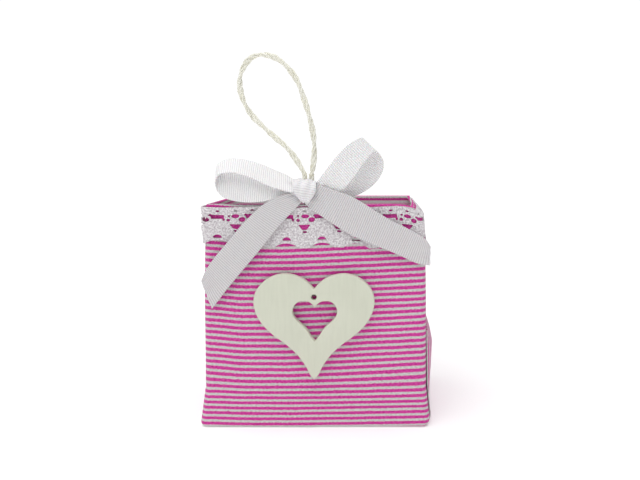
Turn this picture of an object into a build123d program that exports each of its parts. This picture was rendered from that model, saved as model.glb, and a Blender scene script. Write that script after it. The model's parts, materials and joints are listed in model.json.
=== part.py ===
"""Open-topped gift bag of card covered in striped cotton, with lace, a ribbon bow, a heart and a cord.

Millimetres, +Z up. The origin is the middle of the face that the bag stands on. The front faces -Y.
"""
from build123d import *
from math import pi, radians, tan
import os

os.makedirs("parts", exist_ok=True)

# ---- driving dimensions ------------------------------------------------------------------------
body_height = 89.5        # from the table to the top of the turned-over rim
body_depth = 56.0         # front to back, outside the cloth, above the crease
base_depth = 60.5         # the walls stand out below the crease, at the front and the back
rim_width = 87.8          # side to side, outside the cloth
crease_width = 90.0
base_width = 93.0
crease_height = 15.6      # fold line round the walls, above the base

cloth = 0.5               # cotton with its glue
wall_board = 0.8          # card in the walls
base_board = 1.2          # card in the base
board_clearance = 0.1     # base card to wall cards
hem_depth = 18.0          # turned in below the rim

flap_height = 38.0        # top of the side flaps
flap_foot = 3.0           # bottom of the side flaps
flap_width = 50.0         # front to back
flap_bulge = 3.4          # how far a flap stands out from the side

lace = 0.8                # thickness of the lace
lace_drop = 16.0          # top edge to scallop points
lace_below_rim = 1.1
scallop_pitch = 13.75
scallop_cut = 4.0         # radius of the dip between two points
scallop_shift = -3.2      # the front's pattern is off centre by this

heart_width = 48.0
heart_height = 41.8
heart_tip_height = 20.2   # tip above the base
heart_board = 3.0
heart_glue_gap = 0.6
heart_window = 0.38       # cut-out's size as a share of the heart
heart_window_tip = 35.2   # tip of the cut-out above the base
heart_hole_radius = 1.1
heart_hole_height = 52.9
glue_dot_radius = 3.5

ribbon_width = 10.0
ribbon = 0.5              # thickness
ribbon_pinch = 5.2        # width where the ribbon comes out of the knot
pinch_length = 8.0        # distance over which it opens to its full width

knot_width = 9.4
knot_depth = 9.6
knot_height = 8.4
knot_round = 2.6
knot_x = -3.4
knot_above_rim = 1.3
knot_back_wall = 1.3      # ribbon behind the cord
loop_forward = 0.4        # the loops leave the knot this far in front of its middle
loop_cord_gap = 0.1       # between a loop's root and the cord's strands

loop_root = 0.8           # half height of a loop at the knot
left_loop_reach = 32.1    # from the knot to the far end
left_loop_bend = 5.0      # outer radius at the far end
left_loop_rise = 0.5      # above the knot's middle
right_loop_reach = 26.9
right_loop_bend = 5.5
right_loop_rise = -0.8

tail_gap = 0.6            # tail to lace
tail_arch = 1.4           # how far the middle of a tail stands out
tail_root_gap = 0.9       # tail to knot
left_tail_length = 54.3
left_tail_bevel = 5.1
right_tail_length = 52.4
right_tail_bevel = 5.8

cord_diameter = 2.6
cord_gap = 0.1            # between the two strands in the knot
cord_shift = 0.65         # the strands stand right of the knot's middle
cord_slack = 0.05         # cord to hem
cord_joint_rise = 1.8     # from the top of the knot to where the loop turns
cord_tail_depth = 14.5    # how far the glued ends reach below the rim
glue_width = 9.0
glue_depth = 3.2
glue_height = 9.0

# ---- places worked out from them ---------------------------------------------------------------
front = body_depth / 2
wall = cloth + wall_board
rim_wall = wall + cloth
card_top = body_height - cloth
lace_top = body_height - lace_below_rim
lace_foot = lace_top - lace_drop
knot_z = body_height + knot_above_rim + knot_height / 2
knot_top = knot_z + knot_height / 2
cord_spacing = cord_diameter + cord_gap
cord_tail_foot = body_height - cord_tail_depth
cord_y = -front + rim_wall + cord_diameter / 2 + cord_slack
knot_y = cord_y + cord_diameter / 2 + knot_back_wall - knot_depth / 2
cord_mid_x = knot_x + cord_shift
cord_xs = {"left": cord_mid_x - cord_spacing / 2, "right": cord_mid_x + cord_spacing / 2}
cord_joint_z = knot_top + cord_joint_rise


def half_sizes(z):
    """Half the width and half the depth of the bag, outside the cloth, at a height."""
    if z >= crease_height:
        share = (z - crease_height) / (body_height - crease_height)
        return (crease_width + share * (rim_width - crease_width)) / 2, body_depth / 2
    share = z / crease_height
    return (
        (base_width + share * (crease_width - base_width)) / 2,
        (base_depth + share * (body_depth - base_depth)) / 2,
    )


def levels(low, high):
    """The heights where a wall between two heights needs a section."""
    return [low] + [z for z in (crease_height,) if low < z < high] + [high]


def frustum(low, high, inset):
    """The bag's outside, drawn in by an inset, between two heights, as a solid block."""
    with BuildPart() as block:
        for z in levels(low, high):
            half_width, half_depth = half_sizes(z)
            with BuildSketch(Plane.XY.offset(z)):
                Rectangle(2 * (half_width - inset), 2 * (half_depth - inset))
        loft(ruled=True)
    return block.part


def save(piece, label):
    piece.part.label = label
    export_step(piece.part, f"parts/{label}.step")


# ---- card: four wall boards with mitred corners, and the base board ------------------------------
def wall_card(label, corners):
    """One wall board. corners holds the two outer corners as signs of x and y, in order."""
    with BuildPart() as board:
        for z in levels(cloth, card_top):
            half_width, half_depth = half_sizes(z)
            outer = [(sx * (half_width - cloth), sy * (half_depth - cloth)) for sx, sy in corners]
            inner = [(sx * (half_width - wall), sy * (half_depth - wall)) for sx, sy in corners]
            with BuildSketch(Plane.XY.offset(z)):
                with BuildLine():
                    Polyline(outer[0], outer[1], inner[1], inner[0], close=True)
                make_face()
        loft(ruled=True)
    save(board, label)


wall_card("front_card", [(-1, -1), (1, -1)])
wall_card("back_card", [(1, 1), (-1, 1)])
wall_card("left_card", [(-1, 1), (-1, -1)])
wall_card("right_card", [(1, -1), (1, 1)])

base_board_faces = [half_sizes(z) for z in (cloth, cloth + base_board)]
base_board_width = 2 * (min(width for width, depth in base_board_faces) - wall - board_clearance)
base_board_depth = 2 * (min(depth for width, depth in base_board_faces) - wall - board_clearance)
with BuildPart() as base_card:
    with BuildSketch(Plane.XY.offset(cloth)):
        Rectangle(base_board_width, base_board_depth)
    extrude(amount=base_board)
save(base_card, "base_card")

# ---- cloth: the wrap, its turned-in top, the base strip and its two ends -------------------------
wrap_outside = frustum(cloth, card_top, 0)
wrap_inside = frustum(cloth, card_top, cloth)
with BuildPart() as fabric_wrap:
    add(wrap_outside)
    add(wrap_inside, mode=Mode.SUBTRACT)
save(fabric_wrap, "fabric_wrap")

hem_upright = frustum(body_height - hem_depth, card_top, wall)
hem_fold = frustum(card_top, body_height, 0)
mouth = frustum(body_height - hem_depth, body_height, rim_wall)
with BuildPart() as turned_hem:
    add(hem_upright)
    add(hem_fold)
    add(mouth, mode=Mode.SUBTRACT)
save(turned_hem, "turned_hem")

with BuildPart() as base_fabric:
    with BuildSketch():
        Rectangle(base_width, base_depth)
    extrude(amount=cloth)
save(base_fabric, "base_fabric")


def side_flap(label, side):
    """A curved strip end against one side of the bag: side is -1 on the left and 1 on the right."""
    middle = (flap_foot + flap_height) / 2
    foot_x = half_sizes(flap_foot)[0]
    middle_x = half_sizes(middle)[0] + flap_bulge
    top_x = half_sizes(flap_height)[0]
    with BuildPart() as flap:
        with BuildSketch(Plane.XZ):
            with BuildLine():
                ThreePointArc(
                    (side * foot_x, flap_foot),
                    (side * (middle_x - cloth), middle),
                    (side * top_x, flap_height),
                )
                Line((side * top_x, flap_height), (side * (top_x + cloth), flap_height))
                ThreePointArc(
                    (side * (top_x + cloth), flap_height),
                    (side * middle_x, middle),
                    (side * (foot_x + cloth), flap_foot),
                )
                Line((side * (foot_x + cloth), flap_foot), (side * foot_x, flap_foot))
            make_face()
        extrude(amount=flap_width / 2, both=True)
    save(flap, label)


side_flap("left_flap", -1)
side_flap("right_flap", 1)

# ---- lace: a band round the mouth with dips between the scallop points ---------------------------
front_dips = int((rim_width - scallop_cut) // scallop_pitch)
side_dips = int((body_depth - scallop_cut) // scallop_pitch)
lace_outside = frustum(lace_foot, lace_top, -lace)
lace_inside = frustum(lace_foot, lace_top, 0)
with BuildPart() as lace_trim:
    add(lace_outside)
    add(lace_inside, mode=Mode.SUBTRACT)
    with BuildSketch(Plane.XZ):
        with Locations((scallop_shift, lace_foot)):
            with GridLocations(scallop_pitch, 1, front_dips, 1):
                Circle(scallop_cut)
    extrude(amount=body_depth, both=True, mode=Mode.SUBTRACT)
    with BuildSketch(Plane.YZ):
        with Locations((0, lace_foot)):
            with GridLocations(scallop_pitch, 1, side_dips, 1):
                Circle(scallop_cut)
    extrude(amount=rim_width, both=True, mode=Mode.SUBTRACT)
save(lace_trim, "lace_trim")


# ---- heart: plaque with its cut-out and hole, and three dots of glue behind it --------------------
def heart_outline(width, height, tip_z):
    """A heart with round lobes and slightly hollow flanks, drawn in the plane of the front."""
    notch = (0, tip_z + 0.857 * height)
    shoulder = 0.255 * width
    for side in (-1, 1):
        widest = (side * width / 2, tip_z + 0.74 * height)
        ThreePointArc(notch, (side * shoulder, tip_z + height), widest)
        Spline(
            widest,
            (side * 0.34 * width, tip_z + 0.43 * height),
            (side * 0.13 * width, tip_z + 0.235 * height),
            (0, tip_z),
            tangents=[(0, -1), (-side * 0.3, -1)],
        )


with BuildPart() as heart_plaque:
    with BuildSketch(Plane.XZ.offset(front + heart_glue_gap)):
        with BuildLine():
            heart_outline(heart_width, heart_height, heart_tip_height)
        make_face()
        with BuildLine():
            heart_outline(heart_width * heart_window, heart_height * heart_window, heart_window_tip)
        make_face(mode=Mode.SUBTRACT)
        with Locations((0, heart_hole_height)):
            Circle(heart_hole_radius, mode=Mode.SUBTRACT)
    extrude(amount=heart_board)
save(heart_plaque, "heart_plaque")

lobe_z = heart_tip_height + 0.72 * heart_height
with BuildPart() as heart_glue:
    with BuildSketch(Plane.XZ.offset(front)):
        with Locations(
            (-0.3 * heart_width, lobe_z),
            (0.3 * heart_width, lobe_z),
            (0, heart_tip_height + 0.22 * heart_height),
        ):
            Circle(glue_dot_radius)
    extrude(amount=heart_glue_gap)
save(heart_glue, "heart_glue")


# ---- cord: two ends glued inside the front wall, up through the knot ------------------------------
cord_ends = {}
for side, x in cord_xs.items():
    with BuildPart() as cord_end:
        with BuildSketch(Plane.XY.offset(cord_tail_foot)):
            with Locations((x, cord_y)):
                Circle(cord_diameter / 2)
        extrude(amount=knot_top - cord_tail_foot)
    save(cord_end, f"cord_end_{side}")
    cord_ends[side] = cord_end.part

with BuildPart() as cord_glue:
    with Locations((cord_mid_x, -front + rim_wall + glue_depth / 2, cord_tail_foot + glue_height / 2)):
        Box(glue_width, glue_depth, glue_height)
    fillet(cord_glue.edges().filter_by(Axis.Y), glue_depth / 3)
    add(cord_ends.values(), mode=Mode.SUBTRACT)
save(cord_glue, "cord_glue")

# ---- bow: the knot round the cord, and the two loops ----------------------------------------------
with BuildPart() as bow_knot:
    with Locations((knot_x, knot_y, knot_z)):
        Box(knot_width, knot_depth, knot_height)
    fillet(bow_knot.edges(), knot_round)
    add(cord_ends.values(), mode=Mode.SUBTRACT)
save(bow_knot, "bow_knot")


def bow_loop(label, root, along, across, reach, bend):
    """A ribbon loop: a flattened ring, narrowed to a pinch where it goes into the knot.

    along points from the knot to the loop's far end, and across lies along the ribbon's width.
    """
    side_view = Plane(origin=root, x_dir=along, z_dir=across)
    face_view = Plane(origin=root, x_dir=along, z_dir=side_view.y_dir)
    with BuildPart() as loop:
        with BuildSketch(side_view):
            for thinner, mode in ((0, Mode.ADD), (ribbon, Mode.SUBTRACT)):
                with BuildLine() as outline:
                    CenterArc((loop_root, 0), loop_root - thinner / 2, 0, 360)
                    CenterArc((reach - bend, 0), bend - thinner, 0, 360)
                make_hull(outline.edges(), mode=mode)
        extrude(amount=ribbon_width / 2, both=True)
        with BuildSketch(face_view):
            with BuildLine():
                Polyline(
                    (0, ribbon_pinch / 2),
                    (pinch_length, ribbon_width / 2),
                    (reach + ribbon, ribbon_width / 2),
                    (reach + ribbon, -ribbon_width / 2),
                    (pinch_length, -ribbon_width / 2),
                    (0, -ribbon_pinch / 2),
                    close=True,
                )
            make_face()
        extrude(amount=bend + ribbon, both=True, mode=Mode.INTERSECT)
        add(bow_knot.part, mode=Mode.SUBTRACT)
        add(cord_ends.values(), mode=Mode.SUBTRACT)
    save(loop, label)


loop_y = knot_y - loop_forward
loop_start = cord_shift + cord_spacing / 2 + cord_diameter / 2 + loop_cord_gap
bow_loop(
    "bow_loop_left",
    root=(knot_x - loop_start, loop_y, knot_z + left_loop_rise),
    along=(-0.99, 0, 0.14),
    across=(0, 0.83, 0.56),
    reach=left_loop_reach,
    bend=left_loop_bend,
)
bow_loop(
    "bow_loop_right",
    root=(knot_x + loop_start, loop_y, knot_z + right_loop_rise),
    along=(0.727, 0, 0.687),
    across=(0.687, 0, -0.727),
    reach=right_loop_reach,
    bend=right_loop_bend,
)


# ---- ribbon tails: arched strips that hang in front of the lace -----------------------------------
def ribbon_tail(label, along, length, bevel):
    """A tail from beside the knot to its slanting cut end, the lower edge longer by the bevel.

    along is its direction in the front's plane.
    """
    run_x, run_z = along
    core_x, core_z = knot_width / 2 - knot_round, knot_height / 2 - knot_round
    start = abs(run_x) * core_x + abs(run_z) * core_z + knot_round + tail_root_gap
    root = (knot_x + run_x * start, -front - lace - tail_gap, knot_z + run_z * start)
    facing = Plane(origin=root, x_dir=(run_x, 0, run_z), z_dir=(0, -1, 0))
    edge_on = Plane(origin=root, x_dir=(run_x, 0, run_z), z_dir=(run_z, 0, -run_x))
    edge_lengths = (length - bevel, length) if run_x > 0 else (length, length - bevel)
    with BuildPart() as tail:
        with BuildSketch(edge_on):
            with BuildLine():
                ThreePointArc((0, 0), (length / 2, tail_arch), (length, 0))
                Line((length, 0), (length, ribbon))
                ThreePointArc((length, ribbon), (length / 2, tail_arch + ribbon), (0, ribbon))
                Line((0, ribbon), (0, 0))
            make_face()
        extrude(amount=ribbon_width / 2, both=True)
        with BuildSketch(facing):
            with BuildLine():
                Polyline(
                    (0, ribbon_pinch / 2),
                    (pinch_length, ribbon_width / 2),
                    (edge_lengths[0], ribbon_width / 2),
                    (edge_lengths[1], -ribbon_width / 2),
                    (pinch_length, -ribbon_width / 2),
                    (0, -ribbon_pinch / 2),
                    close=True,
                )
            make_face()
        extrude(amount=tail_arch + 2 * ribbon, both=True, mode=Mode.INTERSECT)
    save(tail, label)
    print(label, "hinge at", [round(v, 2) for v in root])


ribbon_tail("ribbon_tail_left", (-0.689, -0.725), left_tail_length, left_tail_bevel)
ribbon_tail("ribbon_tail_right", (0.892, -0.452), right_tail_length, right_tail_bevel)

# ---- hanging cord: one free loop, from the right strand round to the left -------------------------
# Points of its route, as steps to the right of the strands' middle and above the cord's joint.
cord_route = [
    (cord_spacing / 2, 0.0),
    (2.6, 7.0),
    (2.2, 18.5),
    (-0.2, 30.0),
    (-4.2, 41.0),
    (-12.7, 49.5),
    (-24.2, 49.5),
    (-29.7, 38.5),
    (-25.2, 25.5),
    (-15.7, 17.0),
    (-6.2, 9.2),
    (-cord_spacing / 2, 0.0),
]
route = [Vector(cord_mid_x + x, cord_y, cord_joint_z + z) for x, z in cord_route]
radii = []
for before, corner, after in zip(route, route[1:], route[2:]):
    shorter_run = min((corner - before).length, (after - corner).length)
    turn = (corner - before).get_angle(after - corner)
    radii.append(0.45 * shorter_run / tan(radians(turn / 2)))
print("cord radii", [round(radius, 1) for radius in radii])

with BuildPart() as hanging_cord:
    with BuildLine() as cord_line:
        FilletPolyline(*route, radius=radii)
    with BuildSketch(Plane(origin=route[0], z_dir=route[1] - route[0])):
        Circle(cord_diameter / 2)
    sweep(path=cord_line.wires()[0])
    for end in (route[0], route[-1]):
        with Locations(end):
            Sphere(cord_diameter / 2)
save(hanging_cord, "hanging_cord")
section = pi * (cord_diameter / 2) ** 2
print("cord length", round(cord_line.wires()[0].length, 1))
print("volume", round(hanging_cord.part.volume), "section x length", round(section * cord_line.wires()[0].length))
print("cord joint", round(cord_mid_x, 2), round(cord_y, 2), round(cord_joint_z, 2))
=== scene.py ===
"""A small striped cotton gift bag: lace edge, ribbon bow, wooden heart and hanging cord."""
import json
import math

import bmesh
import bpy
import numpy as np
from bpy.props import FloatProperty, IntProperty, PointerProperty, StringProperty
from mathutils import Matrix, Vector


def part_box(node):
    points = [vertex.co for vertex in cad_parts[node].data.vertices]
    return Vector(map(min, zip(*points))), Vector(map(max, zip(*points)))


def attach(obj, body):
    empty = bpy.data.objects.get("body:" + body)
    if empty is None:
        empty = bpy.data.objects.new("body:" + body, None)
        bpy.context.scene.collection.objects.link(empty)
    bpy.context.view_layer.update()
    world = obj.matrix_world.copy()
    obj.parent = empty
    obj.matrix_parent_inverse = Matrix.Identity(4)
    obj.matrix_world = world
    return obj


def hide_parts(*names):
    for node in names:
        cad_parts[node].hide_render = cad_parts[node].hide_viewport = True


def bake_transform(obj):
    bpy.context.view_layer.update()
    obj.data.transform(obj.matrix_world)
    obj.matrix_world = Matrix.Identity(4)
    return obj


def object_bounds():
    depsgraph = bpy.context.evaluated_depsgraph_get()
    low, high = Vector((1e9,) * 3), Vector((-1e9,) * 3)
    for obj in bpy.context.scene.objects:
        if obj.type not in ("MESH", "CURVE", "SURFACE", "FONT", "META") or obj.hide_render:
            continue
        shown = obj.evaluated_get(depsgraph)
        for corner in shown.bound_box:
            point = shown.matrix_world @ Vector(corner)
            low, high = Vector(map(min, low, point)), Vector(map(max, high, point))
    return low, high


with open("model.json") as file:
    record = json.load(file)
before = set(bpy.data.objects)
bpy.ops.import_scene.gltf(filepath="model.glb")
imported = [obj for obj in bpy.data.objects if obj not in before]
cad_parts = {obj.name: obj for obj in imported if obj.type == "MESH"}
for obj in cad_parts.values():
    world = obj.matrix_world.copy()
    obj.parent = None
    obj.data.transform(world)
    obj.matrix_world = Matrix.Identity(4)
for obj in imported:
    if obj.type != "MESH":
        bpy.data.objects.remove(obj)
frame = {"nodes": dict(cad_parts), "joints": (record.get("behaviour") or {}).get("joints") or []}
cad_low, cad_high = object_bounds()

bl_info = {
    "name": "Striped gift bag",
    "version": (1, 0, 0),
    "blender": (4, 5, 0),
    "location": "3D View > Sidebar > Gift bag",
    "description": "Builds a striped cotton gift bag with lace, a ribbon bow, a heart and a cord",
    "category": "Object",
}

MM = 0.001

# Sizes that the frame gives.
HEM_LOW, HEM_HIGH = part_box("turned_hem")
HEART_LOW, HEART_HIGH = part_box("heart_plaque")
BASE_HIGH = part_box("base_fabric")[1]
FLAP_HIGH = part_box("right_flap")[1]
LACE_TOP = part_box("lace_trim")[1].z
RIM_HEIGHT = HEM_HIGH.z
HALF_DEPTH = HEM_HIGH.y
TILT = next(joint for joint in frame["joints"] if joint["name"] == "hanging_loop_tilt")

# Grains of the finishes, in metres from one grain to the next.
FRAY_GRAIN = 0.0006  # fibres that cross a stripe's edge
SWAY_GRAIN = 0.009  # how slowly a stripe wanders off its thread
SLUB_GRAIN = 0.0004  # thick places in the cotton yarn
STITCH = 0.0008  # one crochet stitch
WARP_GRAIN = 0.00024
WOOD_GRAIN = 0.0011
FIBRE_GRAIN = 0.00022  # fibres along a cord's yarn

STRIPE_START = 0.26  # where the first pink stripe stands at the foot, as a share of a pair


# ---- what a user may change ----------------------------------------------------------------------
def length(label, about, default):
    """A size in metres for one of the property groups."""
    return FloatProperty(
        name=label, description=about, default=default, unit="LENGTH", precision=5
    )


def number(label, about, default):
    """A plain number for one of the property groups."""
    return FloatProperty(name=label, description=about, default=default)


def colour(label, about, default):
    """An sRGB hex colour for one of the property groups."""
    return StringProperty(name=label, description=about, default=default)


class GiftBagCloth(bpy.types.PropertyGroup):
    """The striped cloth and the card under it."""

    stripe_pair: length("Stripe pair", "From one pink stripe to the next", 0.0024)
    thread: length("Thread", "From one thread to the next", 0.0004)
    cloth: length("Cloth", "How thick the cloth is", 0.0005)
    card: length("Card", "How thick the card in the walls is", 0.0008)
    hem: length("Turned top", "How far the cloth goes down inside", RIM_HEIGHT - HEM_LOW.z)
    corner: length("Corner", "Radius of the upright corners", 0.003)
    crease_height: length("Crease height", "Where the walls turn in to the base", 0.0156)
    crease_width: length("Crease width", "Width of the bag at the crease", 0.0900)
    droop: length("Drooping corner", "How far the front right corner has sunk", 0.0017)
    lean: length("Leaning side", "How far the right side leans in at the rim", 0.0032)
    band_low: length("Band from", "Lower edge of the broad stripe under the lace", 0.0758)
    band_high: length("Band to", "Upper edge of the broad stripe under the lace", 0.0862)
    pink: colour("Pink yarn", "Dyed stripe", "#DA36A0")
    white: colour("White yarn", "Undyed stripe", "#DFE0DC")


class GiftBagLace(bpy.types.PropertyGroup):
    """The crocheted edge."""

    repeat: length("Repeat", "From one fan to the next", 0.0137)
    shift: length("Shift", "From the middle of the front to the nearest fan", -0.0040)
    drop: length("Drop", "From the heading to the tip of a fan", 0.0163)
    top: length("Top", "Height of the heading", LACE_TOP)
    thick: length("Thickness", "Cotton thread, crocheted", 0.0006)
    yarn: colour("Lace yarn", "Bleached cotton", "#F6F4F5")


class GiftBagBow(bpy.types.PropertyGroup):
    """The bow of ribbed ribbon."""

    rib: length("Rib", "From one rib of the ribbon to the next", 0.00085)
    rib_height: length("Rib height", "How far a rib stands out", 0.00013)
    thick: length("Thickness", "How thick the ribbon is between ribs", 0.00032)
    ribbon: colour("Ribbon", "White polyester", "#E4E2E3")


class GiftBagHeart(bpy.types.PropertyGroup):
    """The wooden heart."""

    bevel: length("Rounding", "Sanded edge of the plaque", 0.00045)
    hole: length("Hole", "Radius of the drilled hole", 0.0011)
    hole_height: length("Hole height", "From the table to the drilled hole", 0.0529)
    paint: colour("Paint", "Cream matt paint", "#DDE0CE")


class GiftBagCord(bpy.types.PropertyGroup):
    """The hanging cord of two twisted plies."""

    diameter: length("Diameter", "Across both plies", 0.0023)
    ply_pitch: length("Ply twist", "One turn of the two plies", 0.0235)
    yarn_pitch: length("Yarn twist", "One turn of the yarns in a ply", 0.0105)
    yarns: IntProperty(name="Yarns", description="Yarns in each ply", default=3, min=2, max=6)
    cream: colour("Cord yarn", "Unbleached cotton", "#FAF9EE")


class GiftBagStage(bpy.types.PropertyGroup):
    """Floor, lights and camera."""

    lens: number("Lens", "Focal length in millimetres", 33.245)
    sky: number("Sky", "Strength of the light overhead", 0.62)
    key: number("Key light", "Strength of the soft light from above", 1.95)
    floor: colour("Floor", "Pale paper", "#EDEDED")


# ---- materials -----------------------------------------------------------------------------------
def linear(hex_colour):
    """An sRGB hex colour as linear red, green, blue and alpha."""
    parts = [int(hex_colour[i : i + 2], 16) / 255 for i in (1, 3, 5)]
    return [c / 12.92 if c <= 0.04045 else ((c + 0.055) / 1.055) ** 2.4 for c in parts] + [1.0]


def add_node(tree, kind, sockets=None, stops=(), **settings):
    """One shader node with its settings and, on a colour ramp, its stops. Each socket gets a value,
    the output that feeds it, or the node whose first output does."""
    made = tree.nodes.new("ShaderNode" + kind)
    for name, value in settings.items():
        setattr(made, name, value)
    for name, value in (sockets or {}).items():
        if isinstance(value, bpy.types.Node):
            value = value.outputs[0]
        if isinstance(value, bpy.types.NodeSocket):
            tree.links.new(value, made.inputs[name])
        else:
            made.inputs[name].default_value = value
    for place, (position, hex_colour) in enumerate(stops):
        elements = made.color_ramp.elements
        stop = elements[place] if place < len(elements) else elements.new(position)
        stop.position, stop.color = position, linear(hex_colour)
    return made


def start_material(name, coordinates, **sockets):
    """A material with only a Principled shader, whose constants are set on its own sockets, and
    the coordinates that its patterns lie on: the threads' own, or the piece's."""
    made = bpy.data.materials.new(name)
    made.use_nodes = True
    tree = made.node_tree
    tree.nodes.clear()
    values = {socket.replace("_", " "): value for socket, value in sockets.items()}
    shader = add_node(tree, "BsdfPrincipled", values)
    add_node(tree, "OutputMaterial", {0: shader})
    if coordinates == "threads":
        place = add_node(tree, "UVMap", uv_map="threads").outputs[0]
    else:
        place = add_node(tree, "TexCoord").outputs["Object"]
    return made, tree, shader, place


def feed(tree, shader, colour, height, depth, strength=0.6):
    """Links a colour and a bump of a real depth to the shader."""
    tree.links.new(colour, shader.inputs["Base Color"])
    bump = add_node(tree, "Bump", {"Strength": strength, "Distance": depth, "Height": height})
    tree.links.new(bump.outputs[0], shader.inputs["Normal"])


def woven_cotton_yarn_dyed(cloth, name="woven_cotton_yarn_dyed", pale=0.0):
    """Yarn-dyed cotton, plain woven: matt, and a stripe's edge is soft where threads cross it.
    The pale share mixes painted light into the colour, towards near-white, for the brighter-lit
    copy inside the mouth."""
    made, tree, shader, place = start_material(
        name, "threads", Roughness=0.9, IOR=1.5, Sheen_Weight=0.12, Sheen_Roughness=0.5
    )
    ways = add_node(tree, "SeparateXYZ", {0: place})
    fray = add_node(tree, "TexNoise", {"Vector": place, "Scale": 1 / FRAY_GRAIN, "Detail": 3.0})
    sway = add_node(tree, "TexNoise", {"Vector": place, "Scale": 1 / SWAY_GRAIN, "Detail": 1.0})
    # Each point's distance from the middle of its pink stripe, as a share of a pair of stripes.
    stripe = add_node(
        tree, "Math", {0: ways.outputs[1], 1: 1 / cloth.stripe_pair}, operation="MULTIPLY"
    )
    for source, share in ((fray, 0.40), (sway, 0.12)):
        stripe = add_node(tree, "Math", {0: source, 1: share, 2: stripe}, operation="MULTIPLY_ADD")
    steps = (("SUBTRACT", STRIPE_START), ("FRACT", 0.0), ("SUBTRACT", 0.5), ("ABSOLUTE", 0.0))
    for operation, amount in steps:
        stripe = add_node(tree, "Math", {0: stripe, 1: amount}, operation=operation)
    white_share = add_node(
        tree,
        "MapRange",
        {"Value": stripe, "From Min": 0.235, "From Max": 0.335},
        interpolation_type="SMOOTHSTEP",
    )
    # Between band_low and band_high the white stripes are drawn pink all round the mouth, behind
    # the lace, so that every hole in the lace shows pink: this stands partly for the lace's shadow
    # in its holes, as painted shade.
    above, below = (
        add_node(tree, "Math", {0: ways.outputs[1], 1: edge}, operation=side)
        for edge, side in ((cloth.band_low, "GREATER_THAN"), (cloth.band_high, "LESS_THAN"))
    )
    band = add_node(tree, "Math", {0: above, 1: below}, operation="MULTIPLY")
    white_left = add_node(
        tree, "Math", {0: white_share, 1: band}, operation="SUBTRACT", use_clamp=True
    )
    # Slubs lie along the yarn.
    along = add_node(tree, "VectorMath", {0: place, 1: (0.45, 1.0, 1.0)}, operation="MULTIPLY")
    fleck = add_node(tree, "TexNoise", {"Vector": along, "Scale": 1 / SLUB_GRAIN, "Detail": 3.0})
    pink = add_node(
        tree,
        "ValToRGB",
        {0: fleck},
        stops=((0.30, "#B81C7E"), (0.72, "#E663B5"), (0.5, cloth.pink)),
    )
    white = add_node(tree, "ValToRGB", {0: fleck}, stops=((0.25, "#BFB6BC"), (0.6, cloth.white)))
    stripes = add_node(tree, "Mix", {0: white_left, 6: pink, 7: white}, data_type="RGBA")
    # The real threads are 0.2 mm apart, too fine to show; these are drawn twice as coarse.
    waves = []
    for way in ways.outputs[:2]:
        angle = add_node(
            tree, "Math", {0: way, 1: 2 * math.pi / cloth.thread}, operation="MULTIPLY"
        )
        waves.append(add_node(tree, "Math", {0: angle}, operation="COSINE"))
    weave = add_node(tree, "Math", {0: waves[0], 1: waves[1]}, operation="MULTIPLY")
    rough = add_node(tree, "Math", {0: fleck, 1: 1.2, 2: weave}, operation="MULTIPLY_ADD")
    shade = add_node(
        tree,
        "MapRange",
        {"Value": rough, "From Min": -0.6, "From Max": 1.5, "To Min": 0.84, "To Max": 1.08},
    )
    lit = add_node(tree, "VectorMath", {0: stripes.outputs[2], "Scale": shade}, operation="SCALE")
    # Painted light: pale mixes the colour towards near-white, as if this cloth were lit more
    # brightly.
    painted_lit = add_node(tree, "Mix", {0: pale, 6: lit, 7: linear("#FFFBFD")}, data_type="RGBA")
    feed(tree, shader, painted_lit.outputs[2], rough, 0.00006)
    return made


def crocheted_cotton_bleached(lace):
    """Bleached cotton thread, crocheted: matt, mottled by the small shadows between stitches."""
    made, tree, shader, place = start_material(
        "crocheted_cotton_bleached",
        "threads",
        Roughness=0.92,
        IOR=1.5,
        Sheen_Weight=0.15,
        Sheen_Roughness=0.5,
    )
    stitches = add_node(
        tree,
        "TexVoronoi",
        {"Vector": place, "Scale": 1 / STITCH, "Randomness": 0.8},
        feature="SMOOTH_F1",
    )
    ply = add_node(tree, "TexNoise", {"Vector": place, "Scale": 1 / 0.0006, "Detail": 4.0})
    high = add_node(tree, "Math", {0: stitches, 1: -0.45, 2: ply}, operation="MULTIPLY_ADD")
    tone = add_node(tree, "ValToRGB", {0: high}, stops=((0.12, "#BDB4BA"), (0.48, lace.yarn)))
    feed(tree, shader, tone.outputs[0], high, 0.00022)
    return made


def grosgrain_polyester(bow, name, between, ribbon):
    """Polyester ribbon, woven with thick picks: ribs across it and a soft, slightly silky light.
    Between is its colour between the ribs, darker than ribbon, its colour on them: painted shade in
    the grooves."""
    made, tree, shader, place = start_material(
        "grosgrain_polyester_" + name,
        "threads",
        Roughness=0.52,
        IOR=1.52,
        Specular_IOR_Level=0.35,
        Sheen_Weight=0.2,
        Sheen_Roughness=0.35,
        Subsurface_Weight=0.06,
        Subsurface_Scale=0.0006,
    )
    ways = add_node(tree, "SeparateXYZ", {0: place})
    angle = add_node(tree, "Math", {0: ways, 1: 2 * math.pi / bow.rib}, operation="MULTIPLY")
    rib = add_node(tree, "Math", {0: angle}, operation="COSINE")
    # The warp threads over the ribs are 0.12 mm apart; these are drawn twice as coarse.
    stretch = add_node(tree, "VectorMath", {0: place, 1: (0.35, 1.0, 1.0)}, operation="MULTIPLY")
    warp = add_node(tree, "TexNoise", {"Vector": stretch, "Scale": 1 / WARP_GRAIN, "Detail": 2.0})
    high = add_node(tree, "Math", {0: rib, 1: 0.35, 2: warp}, operation="MULTIPLY_ADD")
    # Painted shade: the tone darkens towards between where the ribs dip, as if the grooves lay in
    # shade.
    tone = add_node(tree, "ValToRGB", {0: high}, stops=((0.12, between), (0.72, ribbon)))
    feed(tree, shader, tone.outputs[0], high, 0.00005)
    return made


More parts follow.
